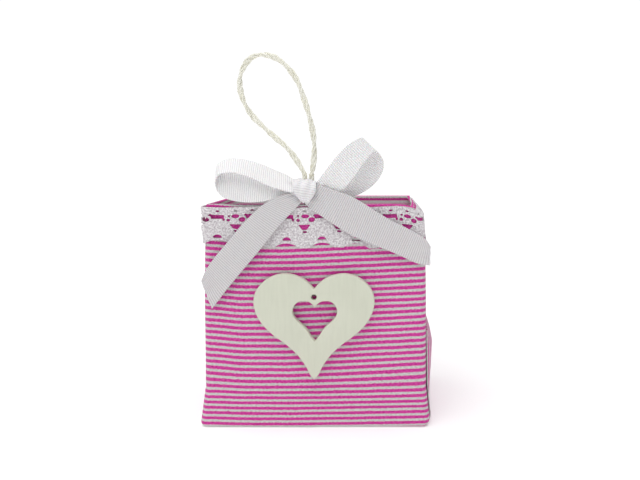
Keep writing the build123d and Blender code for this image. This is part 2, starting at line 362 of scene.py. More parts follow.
def painted_plywood_brushed(heart):
    """Birch plywood, sanded and brushed with matt cream paint: flat, with faint grain under it."""
    made, tree, shader, place = start_material(
        "painted_plywood_brushed", "piece", Roughness=0.62, IOR=1.47
    )
    along = add_node(tree, "VectorMath", {0: place, 1: (1.0, 1.0, 0.12)}, operation="MULTIPLY")
    grain = add_node(tree, "TexNoise", {"Vector": along, "Scale": 1 / WOOD_GRAIN, "Detail": 4.0})
    cloud = add_node(tree, "TexNoise", {"Vector": place, "Scale": 1 / 0.012, "Detail": 2.0})
    both = add_node(tree, "Math", {0: cloud, 1: 0.6, 2: grain}, operation="MULTIPLY_ADD")
    tone = add_node(tree, "ValToRGB", {0: both}, stops=((0.5, "#D8DBC9"), (1.0, heart.paint)))
    feed(tree, shader, tone.outputs[0], grain, 0.00003, 0.3)
    return made


def spun_cotton_plied(cord):
    """Unbleached cotton, spun and plied: matt, with fine fibres along each yarn."""
    made, tree, shader, place = start_material(
        "spun_cotton_plied",
        "threads",
        Roughness=0.85,
        IOR=1.5,
        Sheen_Weight=0.2,
        Sheen_Roughness=0.5,
    )
    slant = add_node(
        tree, "Mapping", {0: place, "Rotation": (0, 0, 0.6), "Scale": (0.25, 1.0, 1.0)}
    )
    fibre = add_node(tree, "TexNoise", {"Vector": slant, "Scale": 1 / FIBRE_GRAIN, "Detail": 3.0})
    patch = add_node(tree, "TexNoise", {"Vector": place, "Scale": 1 / 0.004, "Detail": 1.0})
    both = add_node(tree, "Math", {0: patch, 1: 0.5, 2: fibre}, operation="MULTIPLY_ADD")
    tone = add_node(tree, "ValToRGB", {0: both}, stops=((0.42, "#E6E3CF"), (0.85, cord.cream)))
    feed(tree, shader, tone.outputs[0], fibre, 0.00004)
    return made


def clouded(name, grain, detail, stops, depth, strength, **sockets):
    """A plain material: soft clouds between two colours, a grain in metres apart."""
    made, tree, shader, place = start_material(name, "piece", **sockets)
    cloud = add_node(tree, "TexNoise", {"Vector": place, "Scale": 1 / grain, "Detail": detail})
    tone = add_node(tree, "ValToRGB", {0: cloud}, stops=stops)
    feed(tree, shader, tone.outputs[0], cloud, depth, strength)
    return made


def white_lined_card():
    """White-lined card, calendered: matt, with short pale fibres."""
    stops = ((0.35, "#C9C3B6"), (0.65, "#DAD6CB"))
    return clouded("white_lined_card", 0.0009, 5.0, stops, 0.00004, 0.6, Roughness=0.8, IOR=1.5)


def hot_melt_glue_set():
    """Hot-melt glue, set in air: milky, smooth and a little shiny."""
    stops = ((0.0, "#D8CFB4"), (1.0, "#EAE4D2"))
    return clouded(
        "hot_melt_glue_set",
        0.002,
        2.0,
        stops,
        0.0002,
        0.3,
        Roughness=0.28,
        IOR=1.49,
        Subsurface_Weight=0.5,
        Subsurface_Scale=0.002,
    )


def background_paper_uncoated(stage):
    """White background paper, uncoated, on a lit table: even, matt and free of hard shadows."""
    stops = ((0.0, "#EBEBEB"), (1.0, stage.floor))
    return clouded(
        "background_paper_uncoated",
        0.003,
        2.0,
        stops,
        0.0001,
        0.2,
        Roughness=0.95,
        IOR=1.45,
        Emission_Color=(1, 1, 1, 1),
        Emission_Strength=0.26,
    )


# ---- meshes --------------------------------------------------------------------------------------
def piece(name, points, faces, threads, finish, body="root", replaced=()):
    """A mesh in the row frame, with its thread coordinates in metres, material, slot and body."""
    mesh = bpy.data.meshes.new(name)
    mesh.from_pydata(np.asarray(points, float).reshape(-1, 3).tolist(), [], faces)
    mesh.update()
    if threads is not None:
        layer = mesh.uv_layers.new(name="threads")
        layer.data.foreach_set("uv", np.asarray(threads, np.float32).ravel())
    mesh.polygons.foreach_set("use_smooth", [True] * len(mesh.polygons))
    mesh.materials.append(finish)
    made = bpy.data.objects.new(name, mesh)
    bpy.context.scene.collection.objects.link(made)
    if replaced:
        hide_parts(*replaced)
    if body:
        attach(made, body)
    return made


def refinish(node, finish):
    """Gives a CAD piece, whose shape is right, a better material."""
    materials = frame["nodes"][node].data.materials
    materials.clear()
    materials.append(finish)


def net(rows, columns, close_rows, close_columns, u, v, flip=False):
    """Quads over a grid of points, and the thread coordinates of their corners: u for each column,
    and v for each row or for each point."""
    v = np.asarray(v, float)
    if v.ndim == 1:
        v = np.repeat(v[:, None], len(u), axis=1)
    faces, threads = [], []
    for i in range(rows if close_rows else rows - 1):
        below = (i + 1) % rows
        for j in range(columns if close_columns else columns - 1):
            beside = (j + 1) % columns
            quad = [i * columns + j, i * columns + beside]
            quad += [below * columns + beside, below * columns + j]
            corners = [(i, j), (i, j + 1), (i + 1, j + 1), (i + 1, j)]
            if flip:
                quad.reverse()
                corners.reverse()
            faces.append(quad)
            threads.extend((u[column], v[row, column]) for row, column in corners)
    return faces, threads


def closed_strip(upper, lower, run, across):
    """A closed sheet from the points of its two faces. Run and across are the thread coordinates
    of its rows and columns."""
    ring = np.concatenate([upper, lower[:, ::-1]], axis=1)
    rows, columns = ring.shape[:2]
    v_ring = np.concatenate([across, across[::-1], across[:1]])
    faces, threads = net(rows, columns, False, True, v_ring, run)
    threads = [(v, u) for u, v in threads]
    for row in (0, rows - 1):
        start = row * columns
        for j in range(len(across) - 1):
            quad = [start + j, start + j + 1, start + columns - 2 - j, start + columns - 1 - j]
            if row == 0:
                quad.reverse()
            faces.append(quad)
            threads.extend([(run[row], v_ring[j])] * 4)
    return ring, faces, threads


def smoothstep(low, high, value):
    """0 below low, 1 above high, smooth between."""
    share = np.clip((np.asarray(value, float) - low) / (high - low), 0, 1)
    return share * share * (3 - 2 * share)


def bell(value, middle, width):
    """1 at the middle, falling off smoothly over the width."""
    return np.exp(-(((value - middle) / width) ** 2))


def directions(line, run):
    """The unit tangents of a line of points at its distances along."""
    tangent = np.gradient(line, run, axis=0)
    return tangent / np.linalg.norm(tangent, axis=1, keepdims=True)


def flowing(stations, steps):
    """A smooth line through stations (rows of numbers), in even steps along their first three."""
    stations = np.asarray(stations, float)
    chord = np.linalg.norm(np.diff(stations[:, :3], axis=0), axis=1)
    knots = np.concatenate([[0], np.cumsum(chord)])
    slopes = np.gradient(stations, knots, axis=0)
    fine = np.linspace(0, knots[-1], steps * 4)
    index = np.clip(np.searchsorted(knots, fine, side="right") - 1, 0, len(knots) - 2)
    span = (knots[index + 1] - knots[index])[:, None]
    t = ((fine - knots[index])[:, None]) / span
    line = (
        (2 * t**3 - 3 * t**2 + 1) * stations[index]
        + (t**3 - 2 * t**2 + t) * span * slopes[index]
        + (3 * t**2 - 2 * t**3) * stations[index + 1]
        + (t**3 - t**2) * span * slopes[index + 1]
    )
    run = np.concatenate([[0], np.cumsum(np.linalg.norm(np.diff(line[:, :3], axis=0), axis=1))])
    even = np.linspace(0, run[-1], steps)
    return np.stack([np.interp(even, run, column) for column in line.T], axis=1), even


# ---- the bag's walls -----------------------------------------------------------------------------
class Walls:
    """The outside of the bag: a rounded rectangle, widest at the base, that tucks in under it."""

    half_rim = 0.0439  # half the width at the rim
    soft_edge = {-1: 0.0020, 1: 0.0030}  # radius of the bottom edge on the left and on the right
    sunk_reach = 0.0062  # how far round the sunk corner of the mouth goes
    sunk_in, sunk_back = 0.0012, 0.0008  # how far that corner comes in, and goes back
    lean_from = 0.0846  # the right side leans in above this height
    unevenness = 0.00022
    pucker_spots = ((-0.0334, 0.0060), (-0.0272, 0.0060))  # around and height
    pucker_depth = 0.0005
    fold_height, fold_depth = 0.0076, 0.0004  # the soft fold along the base
    groove_depth = 0.0002

    def __init__(self, cloth):
        self.corner = cloth.corner
        self.crease_height = cloth.crease_height
        self.crease = (cloth.crease_width / 2, HALF_DEPTH)
        self.base = (BASE_HIGH.x, BASE_HIGH.y)
        self.rim = (self.half_rim, HALF_DEPTH)
        self.droop = cloth.droop
        self.lean = cloth.lean
        self.long = self.rim[0] - self.corner
        self.short = self.rim[1] - self.corner
        self.bend = self.corner * math.pi / 2
        self.around = 4 * (self.long + self.short + self.bend)

    def half_sizes(self, height):
        """Half the width and half the depth, outside the cloth."""
        high = np.clip((height - self.crease_height) / (RIM_HEIGHT - self.crease_height), 0, 1)
        low = np.clip(height / self.crease_height, 0, 1)
        wide = self.base[0] + low * (self.crease[0] - self.base[0])
        wide = wide + high * (self.rim[0] - self.crease[0])
        return wide, self.base[1] + low * (self.crease[1] - self.base[1])

    def lift(self, x, height):
        """How far the stripes climb towards the sides of the front."""
        x = x / MM
        left = 1.1 * smoothstep(-28, -43, x)
        right = 2.4 * np.clip((x + 12) / 55, 0, 1) ** 1.15
        return (left + right) * (0.35 + 0.65 * smoothstep(0.010, 0.026, height)) * MM

    def place(self, around, height, out):
        """Points on the walls, out metres off the cloth; around is 0 at the middle of the front."""
        around, height, out = np.broadcast_arrays(
            *(np.asarray(value, float) for value in (around, height, out))
        )
        wide, deep = self.half_sizes(height)
        s = (around + self.around / 2) % self.around - self.around / 2
        side = np.sign(s) + (s == 0)
        s = np.abs(s)
        a, b, c, r = self.long, self.short, self.bend, self.corner
        front = np.clip(s, 0, a)
        first = np.clip((s - a) / r, 0, math.pi / 2)
        flank = np.clip(s - a - c, 0, 2 * b)
        second = np.clip((s - a - c - 2 * b) / r, 0, math.pi / 2)
        back = np.clip(s - a - 2 * c - 2 * b, 0, a)
        turned = s > a + c + 2 * b
        nx = np.where(turned, np.cos(second), np.sin(first))
        ny = np.where(turned, np.sin(second), -np.cos(first))
        cx = (wide - r) * (front - back) / a
        cy = (deep - r) * (flank - b) / b
        # The bottom edge is soft, and softer on the right.
        soft = np.where(side * s > 0, self.soft_edge[1], self.soft_edge[-1])
        soft = soft * (0.6 + 0.4 * np.abs(nx))
        under = np.clip(soft - height, 0, None)
        tuck = soft - np.sqrt(np.clip(soft**2 - under**2, 0, None))
        x = side * (cx + nx * (r + out - tuck))
        y = cy + ny * (r + out - tuck)
        # The front right corner of the mouth has sunk and rounded in.
        near = bell(around, a + c * 0.6, self.sunk_reach)
        near = near * smoothstep(0.070, RIM_HEIGHT, height) ** 1.6
        z = height - self.droop * near
        lean = smoothstep(self.lean_from, RIM_HEIGHT, height) * np.clip(side * nx, 0, 1)
        x = x - self.lean * lean - self.sunk_in * near
        y = y + self.sunk_back * near
        # Hand-made walls aren't quite flat.
        wave = self.unevenness * np.sin(around / 0.0155 + 1.3) * np.sin(height / 0.0135 + 0.4)
        return np.stack([x + side * nx * wave, y + ny * wave, z], axis=-1)

    def dents(self, around, height):
        """Small puckers near the base, the fold that runs along it, and the crease above it."""
        depth = np.zeros(np.broadcast(around, height).shape)
        for x, z in self.pucker_spots:
            depth = depth - self.pucker_depth * bell(around, x, 0.0011) * bell(height, z, 0.0007)
        run = smoothstep(-0.004, 0.012, around) * smoothstep(0.046, 0.040, around)
        depth = depth - self.fold_depth * run * bell(height, self.fold_height, 0.0006)
        return depth - self.groove_depth * bell(height, self.crease_height, 0.0008)


def swept(walls, name, profile, finish, replaced, columns=392):
    """A closed profile of (height, out, course, detail) carried round the walls."""
    around = np.linspace(0, walls.around, columns + 1) - walls.around / 2
    height, out, course, detail = np.asarray(profile, float).T[:, :, None]
    s = around[None, :-1]
    points = walls.place(s, height, out + detail * walls.dents(s, height))
    # The climb of the front's stripes dies out along the sides.
    smooth = walls.place(around[None, :], height, out)
    x, y = smooth[..., 0], smooth[..., 1]
    lift = walls.lift(x, height) + 0.0013 * smoothstep(-0.027, -0.020, y) * (x > 0.040)
    value = course - lift * smoothstep(0.024, -0.026, y)
    value = np.vstack([value, value[:1]])
    faces, threads = net(len(profile), columns, True, True, around, value, flip=True)
    return piece(name, points, faces, threads, finish, replaced=replaced)


def wall_course(height, crease_height):
    """Distance along the cloth from the base; below the crease the stripes sit closer."""
    closer = 1.19
    return np.where(
        height > crease_height, height, crease_height + (height - crease_height) * closer
    )


class GIFTBAG_OT_wall_cloth(bpy.types.Operator):
    """The striped cloth round the card, turned over the rim and down inside"""

    bl_idname = "giftbag.wall_cloth"
    bl_label = "Wall cloth"

    def execute(self, context):
        cloth = context.scene.giftbag_cloth
        walls = Walls(cloth)
        thick, crease = cloth.cloth, cloth.crease_height
        wall = 2 * thick + cloth.card
        fold = wall / 2
        foot = thick
        hem_foot = RIM_HEIGHT - cloth.hem
        shoulder = RIM_HEIGHT - fold
        card_top = shoulder - 0.0001
        turn = shoulder + fold * math.pi
        # Up the outside, over the card, down inside to the turned edge, and back up to the card.
        profile = [(z, 0.0, wall_course(z, crease), 1.0) for z in np.linspace(foot, shoulder, 122)]
        for angle in np.linspace(0, math.pi, 9)[1:-1]:
            over, inwards = fold * math.sin(angle), fold * (math.cos(angle) - 1)
            profile.append((shoulder + over, inwards, shoulder + fold * angle, 0.0))
        turned_in = len(profile) + 2
        for z in np.linspace(shoulder, hem_foot, 26):
            profile.append((z, -wall, turn + shoulder - z, 0.0))
        profile.append((hem_foot - 0.0001, -wall + thick / 2, turn + cloth.hem, 0.0))
        for z in np.linspace(hem_foot, card_top, 5):
            profile.append((z, -thick - cloth.card, turn + shoulder - z, 0.0))
        for z in np.linspace(card_top, foot, 34):
            profile.append((z, -thick, wall_course(z, crease), 1.0))
        made = swept(
            walls,
            "bag_cloth",
            profile,
            woven_cotton_yarn_dyed(cloth),
            ("fabric_wrap", "turned_hem"),
        )
        # The cloth turned down inside the mouth gets a copy with painted light: its colours are
        # mixed 42% towards near-white, as if lit more brightly.
        reverse = woven_cotton_yarn_dyed(cloth, "woven_cotton_yarn_dyed_painted_light", pale=0.42)
        made.data.materials.append(reverse)
        rows = np.arange(len(profile))
        inside = ((rows >= turned_in) & (rows < turned_in + 26)).astype(int)
        columns = len(made.data.polygons) // len(profile)
        made.data.polygons.foreach_set("material_index", np.repeat(inside, columns).tolist())
        return {"FINISHED"}


class GIFTBAG_OT_card(bpy.types.Operator):
    """The card walls inside the cloth, and the base board"""

    bl_idname = "giftbag.card"
    bl_label = "Card"

    def execute(self, context):
        cloth = context.scene.giftbag_cloth
        finish = white_lined_card()
        foot, top = 0.0008, RIM_HEIGHT - cloth.cloth - cloth.card / 2 - 0.0003
        outside = -cloth.cloth - 0.00002
        inside = outside - cloth.card + 0.00004
        profile = [(z, outside, z, 1.0) for z in np.linspace(foot, top, 34)]
        profile += [(z, inside, z, 1.0) for z in np.linspace(top, foot, 34)]
        walls = ("front_card", "back_card", "left_card", "right_card")
        swept(Walls(cloth), "wall_card", profile, finish, walls, columns=196)
        refinish("base_card", finish)
        return {"FINISHED"}


class GIFTBAG_OT_base_strip(bpy.types.Operator):
    """The strip of cloth under the bag, whose ends come up the two sides as flaps"""

    bl_idname = "giftbag.base_strip"
    bl_label = "Base strip"

    # How far the flap stands off the wall at each height, and at its top edge, in mm.
    stand_off = (
        (4.0, 0.0), (6.5, 0.0), (8.5, 0.3), (12.0, 1.1), (15.6, 1.8),
        (20.0, 2.3), (25.0, 2.7), (30.0, 3.1), (35.0, 2.2),
    )
    top_stand_off = 0.3
    # In metres: how far it stands off where it turns under, how much wider it is there and from
    # which height down, how round the corners of its top are, and its least gaps to wall and floor.
    turn_off = 0.0002
    foot_width, foot_height = 0.0016, 0.006
    tip_round = 0.0010
    side_gap, floor_gap = 0.00015, 0.0001
    # Side, share of the stand-off and of the width, and how square the flap's bulge is across.
    sides = ((1, 1.0, 1.0, 4.0), (-1, 0.5, 0.86, 2.0))

    def half_line(self, walls, top):
        """The flap and half the base, from the top down: x, height and distance off the wall."""
        heights, offs = np.array([*self.stand_off, (top / MM, self.top_stand_off)]).T
        turn_height, turn_radius = 0.0040, 0.0036
        rows = []
        for z in np.linspace(top, turn_height, 50):
            wide = float(walls.half_sizes(np.array(z))[0])
            rows.append((wide, z, float(np.interp(z / MM, heights, offs)) * MM))
        corner_x = float(walls.half_sizes(np.array(turn_height))[0]) - turn_radius
        for angle in np.linspace(0, math.pi / 2, 9)[1:]:
            x, z = corner_x + turn_radius * math.cos(angle), turn_radius * (1 - math.sin(angle))
            rows.append((x, z, self.turn_off))
        return rows + [(x, 0.0, 0.0) for x in np.linspace(corner_x, 0.0, 32)[1:]]

    def execute(self, context):
        cloth = context.scene.giftbag_cloth
        top = FLAP_HIGH.z + 0.0005
        half_line = self.half_line(Walls(cloth), top)
        across = np.linspace(-1, 1, 49)
        lines = []
        for side, share, width, square in self.sides:
            for wide, z, off in half_line if side > 0 else half_line[-2::-1]:
                # The strip widens a little where it turns under.
                widened = self.foot_width * max(1 - z / self.foot_height, 0.0)
                y = across * (FLAP_HIGH.y + widened) * width
                bulge = off * share * (1 - np.abs(across) ** square)
                rounded = self.tip_round * across**6 if z == top else np.zeros_like(across)
                x = side * (wide + bulge + self.side_gap)
                lines.append(np.stack([x, y, z - rounded + self.floor_gap], axis=1))
        inner = np.array(lines)
        steps = np.linalg.norm(np.diff(inner[:, len(across) // 2], axis=0), axis=1)
        run = np.concatenate([[0.0], np.cumsum(steps)])
        normal = np.cross(np.gradient(inner, axis=0), np.gradient(inner, axis=1))
        normal /= np.linalg.norm(normal, axis=2, keepdims=True)
        if normal[5, 24, 0] < 0:
            normal = -normal
        outer = inner + normal * cloth.cloth
        outer[..., 2] = np.maximum(outer[..., 2], 0.0)
        lying = np.abs(normal[..., 2]) > 0.99
        inner = np.where(lying[..., None], inner + (0, 0, cloth.cloth), inner)
        # The cut along the front edge runs in a white stripe.
        cut = 0.0012
        ring, faces, threads = closed_strip(outer, inner, run, across * FLAP_HIGH.y + cut)
        finish = woven_cotton_yarn_dyed(cloth)
        nodes = ("base_fabric", "left_flap", "right_flap")
        made = piece("base_strip", ring, faces, threads, finish, replaced=nodes)
        return {"FINISHED"}


# ---- lace ----------------------------------------------------------------------------------------
FAN = 13.7  # width of the fan that the holes below are drawn on, in mm

# The oval holes of a fan in mm: across from its middle and down from the heading, their radii, and
# which of the repeat's small differences move them across and down.
FAN_HOLES = (
    (0.1, 1.45, 0.85, 0.40, 0, None), (0.2, 3.55, 1.65, 0.80, 1, None),
    (2.85, 5.0, 1.30, 1.0, 2, None), (-2.6, 5.1, 0.80, 0.65, 1, None),
    (-2.4, 3.3, 0.55, 0.42, None, 0), (4.2, 3.2, 0.62, 0.50, None, 1),
    (-4.4, 4.9, 0.50, 0.62, None, 2), (0.2, 9.85, 1.0, 0.42, 0, None),
)


def oval(x, y, at_x, at_y, rx, ry):
    """Signed distance from an oval hole, above 0 outside it."""
    return (np.hypot((x - at_x) / rx, (y - at_y) / ry) - 1) * min(rx, ry)


def lace_field(q, h, lace_drop, wobble):
    """Above 0 where there is thread. q is from the fan's middle and h down from the heading, in mm;
    wobble gives each repeat its own small differences."""
    half = FAN / 2
    foot = lace_drop - 1.9 * (1 - np.clip((half - np.abs(q)) / 5.0, 0, 1) ** 2.1)
    field = np.minimum(foot - h, h)
    valley = np.where(q > 0, q - half, q + half)
    wide = 2.5 - 0.75 * np.clip(h - 6.9, 0, 3)
    holes = [
        oval(valley, h, 0, 1.5, 0.85, 0.40),
        np.maximum(np.abs(valley) - 2.55, np.abs(h - 3.75) - 0.78),
        np.maximum(np.abs(q - wobble[0]) - wide, np.abs(h - 7.95) - 1.05),
        # The open arch between two fans.
        np.maximum(oval(valley / (1.8 + 0.8 * wobble[3]), h, 0, 13.45, 1.0, 1.55), h - 13.45),
    ]
    for x, y, rx, ry, moves_x, moves_y in FAN_HOLES:
        at_x = x if moves_x is None else x + wobble[moves_x]
        at_y = y if moves_y is None else y + wobble[moves_y]
        holes.append(oval(q, h, at_x, at_y, rx, ry))
    return np.minimum(field, np.minimum.reduce(holes))


def outlined(field):
    """Polygons of the part of a grid where the field is above 0, cut along its line of 0."""
    rows, columns = field.shape
    spots, index, polygons = [], {}, []

    def spot(key, at):
        if key not in index:
            index[key] = len(spots)
            spots.append(at)
        return index[key]

    inside = field > 0
    for i in range(rows - 1):
        for j in range(columns - 1):
            ring = ((i, j), (i, j + 1), (i + 1, j + 1), (i + 1, j))
            state = [inside[p] for p in ring]
            if not any(state):
                continue
            polygon = []
            for k in range(4):
                here, there = ring[k], ring[(k + 1) % 4]
                if state[k]:
                    polygon.append(spot(here, here))
                if state[k] != state[(k + 1) % 4]:
                    a, b = field[here], field[there]
                    share = min(max(a / (a - b), 0.02), 0.98)
                    at = tuple(h + share * (t - h) for h, t in zip(here, there))
                    polygon.append(spot((min(here, there), max(here, there)), at))
            if len(polygon) > 2:
                polygons.append(polygon)
    return np.array(spots), polygons


def both_sides(front, back, polygons, places):
    """A closed sheet from a flat set of polygons: a front, a back and the cut edges."""
    count = len(front)
    faces = [list(p) for p in polygons]
    faces += [[i + count for i in reversed(p)] for p in polygons]
    edges = {}
    for polygon in polygons:
        for k, a in enumerate(polygon):
            b = polygon[(k + 1) % len(polygon)]
            if (b, a) in edges:
                del edges[(b, a)]
            else:
                edges[(a, b)] = True
    faces += [[b, a, a + count, b + count] for a, b in edges]
    threads = [places[i % count] for face in faces for i in face]
    return np.vstack([front, back]), faces, threads


class GIFTBAG_OT_lace(bpy.types.Operator):
    """The crocheted edge round the mouth, with its holes and fans"""

    bl_idname = "giftbag.lace"
    bl_label = "Lace"

    def execute(self, context):
        lace = context.scene.giftbag_lace
        walls = Walls(context.scene.giftbag_cloth)
        # Grid of the outline, wide enough for its edges.
        step_s, step_h, margin = 0.00040, 0.00036, 0.0003
        ends = walls.around / 2 - 0.0001
        columns = int(2 * ends / step_s)
        rows = int((lace.drop + 0.0008) / step_h)
        s = np.linspace(-ends, ends, columns)
        h = np.linspace(-margin, lace.drop + margin, rows)
        from_fan = (s - lace.shift) / lace.repeat
        fan = np.round(from_fan)
        rng = np.random.default_rng(7)
        table = rng.uniform(-0.22, 0.22, (64, 4))
        wobble = table[(fan.astype(int)) % len(table)].T[:, None, :]
        q = (from_fan - fan) * FAN
        field = lace_field(q[None, :], (h / MM)[:, None], lace.drop / MM, wobble) * MM
        # The two ends meet at the middle of the back.
        field = np.minimum(field, (ends - 0.0002 - np.abs(s))[None, :])
        spots, polygons = outlined(field)
        at_s = np.interp(spots[:, 1], np.arange(columns), s)
        at_h = np.interp(spots[:, 0], np.arange(rows), h)
        low = np.floor(spots).astype(int)
        edge = field[np.clip(low[:, 0], 0, rows - 1), np.clip(low[:, 1], 0, columns - 1)]
        corded = bell(np.clip(edge, 0, None), 0, 0.00045)
        stitch = rng.uniform(0, 1, len(spots))
        relief = 0.00012 * corded + 0.00009 * stitch
        relief = relief + 0.00008 * np.sin(at_s / 0.0031) * np.sin(at_h / 0.0024)
        relief = relief + 0.00018 * bell(at_h, 0.0007, 0.0006)
        short = 1 - 0.10 * smoothstep(-0.0285, -0.0345, at_s) * smoothstep(0.004, 0.010, at_h)
        height = lace.top - at_h * short + 0.00025 * np.sin(at_s / 0.0045)
        # The band stands off the front left corner, where it was pulled round.
        corner = -(walls.long + walls.bend * 0.55)
        loose = 0.0014 * bell(at_s, corner, 0.0045)
        loose = loose * (0.35 + 0.65 * smoothstep(0.015, 0.006, at_h))
        front = walls.place(at_s, height, lace.thick * 0.75 + relief + loose)
        back = walls.place(at_s, height, 0.00006 + loose)
        places = np.stack([at_s, at_h], axis=1).tolist()
        points, faces, threads = both_sides(front, back, polygons, places)
        finish = crocheted_cotton_bleached(lace)
        made = piece("lace_edge", points, faces, threads, finish, replaced=("lace_trim",))
        return {"FINISHED"}


# ---- heart ---------------------------------------------------------------------------------------
# The right halves of the outline and of the cut-out in mm, across from the middle and up.
OUTER_HEART = [
    (0.0, 56.0), (1.6, 57.9), (4.2, 60.0), (8.0, 61.6), (12.3, 62.1), (16.8, 61.0), (20.6, 58.4),
    (23.1, 54.9), (23.9, 51.0), (23.0, 46.6), (20.4, 42.0), (16.4, 38.0), (10.6, 33.6), (6.2, 29.3),
    (3.2, 25.0), (1.3, 21.4), (0.0, 20.2),
]
INNER_HEART = [
    (0.0, 48.7), (0.8, 49.9), (2.4, 51.0), (4.4, 51.4), (6.6, 50.9), (8.2, 49.3), (8.8, 47.3),
    (8.4, 45.4), (7.2, 43.7), (5.2, 41.9), (3.2, 39.8), (1.6, 37.2), (0.0, 35.2),
]


def heart_line(half, steps, middle):
    """A closed heart through the points of its right half, sharp at the notch and the tip."""
    right, _ = flowing([(x, 0.0, z) for x, z in half], steps)
    right = right[:, [0, 2]]
    left = right[::-1][1:-1] * (-1, 1)
    return (np.vstack([right, left]) + (middle, 0.0)) * MM


def merge_doubles(made):
    """Joins points that lie on each other, and points the faces outwards."""
    form = bmesh.new()
    form.from_mesh(made.data)
    bmesh.ops.remove_doubles(form, verts=form.verts, dist=1e-6)
    bmesh.ops.recalc_face_normals(form, faces=form.faces)
    form.to_mesh(made.data)
    form.free()


class GIFTBAG_OT_heart(bpy.types.Operator):
    """The wooden heart with its cut-out and drilled hole, and the glue behind it"""

    bl_idname = "giftbag.heart"
    bl_label = "Wooden heart"

    def execute(self, context):
        heart = context.scene.giftbag_heart
        outline = bpy.data.curves.new("heart_outline", "CURVE")
        outline.dimensions = "2D"
        outline.fill_mode = "BOTH"
        outline.extrude = (HEART_HIGH.y - HEART_LOW.y) / 2 - heart.bevel
        outline.bevel_depth = heart.bevel
        outline.bevel_resolution = 3
        outline.offset = -heart.bevel
        angles = np.linspace(0, 2 * math.pi, 41)[:-1]
        hole = np.stack([np.cos(angles), np.sin(angles)], axis=1) * heart.hole
        hole = hole + (0.0, heart.hole_height)
        # The cut-out stands a little right of the middle.
        for line in (heart_line(OUTER_HEART, 110, 0.0), heart_line(INNER_HEART, 60, 0.3), hole):
            spline = outline.splines.new("POLY")
            spline.points.add(len(line) - 1)
            for point, (x, z) in zip(spline.points, line):
                point.co = (x, z, 0.0, 1.0)
            spline.use_cyclic_u = True
        drawn = bpy.data.objects.new("heart_outline", outline)
        bpy.context.scene.collection.objects.link(drawn)
        bpy.context.view_layer.update()
        graph = bpy.context.evaluated_depsgraph_get()
        solid = bpy.data.meshes.new_from_object(drawn.evaluated_get(graph))
        bpy.data.objects.remove(drawn)
        x, z, out = np.array([v.co for v in solid.vertices]).T
        points = np.stack([x, (HEART_HIGH.y + HEART_LOW.y) / 2 - out, z], axis=1)
        faces = [list(p.vertices) for p in solid.polygons]
        finish = painted_plywood_brushed(heart)
        replaced = ("heart_plaque",)
        made = piece("wooden_heart", points, faces, None, finish, replaced=replaced)
        merge_doubles(made)
        refinish("heart_glue", hot_melt_glue_set())
        return {"FINISHED"}


# ---- bow -----------------------------------------------------------------------------------------
def ribbon(name, stations, bow, finish, body, replaced, folds=(0.00035, 2.2, 0.0), ribs=1.0):
    """A ribbed ribbon through stations of (one edge, other edge, crown) in mm, as a closed sheet.
    The crown is how far its middle stands out from the line between its edges. The folds are the
    gathers at its ends: their height, how many there are, and how much of them runs all along.
    Ribs is the share of the ribs' height that is left where the ribbon is pulled tight."""
    table = np.array([list(a) + list(b) + [crown] for a, b, crown in stations], float) * MM
    centre = (table[:, :3] + table[:, 3:6]) / 2
    packed = np.hstack([centre, (table[:, 3:6] - table[:, :3]) / 2, table[:, 6:]])
    span = np.linalg.norm(np.diff(centre, axis=0), axis=1).sum()
    rows_per_rib = 6
    line, run = flowing(packed, max(24, int(span / (bow.rib / rows_per_rib))))
    middle, half, crown = line[:, :3], line[:, 3:6], line[:, 6]
    width = np.linalg.norm(half, axis=1)
    normal = np.cross(directions(middle, run), half)
    normal /= np.linalg.norm(normal, axis=1, keepdims=True)
    # Places across the ribbon, closer together towards its two edges.
    w = np.linspace(-1, 1, 19)
    w = np.sign(w) * (1 - (1 - np.abs(w)) ** 1.25)
    rib = 0.5 + 0.5 * np.cos(2 * np.pi * run / bow.rib)
    selvedge = smoothstep(1.0, 0.90, np.abs(w))
    bead = bell(np.abs(w), 0.95, 0.035) * 0.00006
    deep, number, all_along = folds
    to_end = np.minimum(run, run[-1] - run)
    gather = deep * (all_along + (1 - all_along) * bell(to_end, 0, 0.0050))
    pleats = np.sin(number * math.pi * w[None, :] + run[:, None] / 0.0022) * (1 - w[None, :] ** 4)
    lift = crown[:, None] * (1 - w[None, :] ** 2) + gather[:, None] * pleats
    face = bow.thick / 2 + ribs * bow.rib_height * rib[:, None] * selvedge + bead
    base = middle[:, None, :] + half[:, None, :] * w[None, :, None]
    upper = base + normal[:, None, :] * (lift + face)[..., None]
    lower = base + normal[:, None, :] * (lift - face)[..., None]
    ring, faces, threads = closed_strip(upper, lower, run, w * float(width.mean()))
    return piece(name, ring, faces, threads, finish, body=body, replaced=replaced)


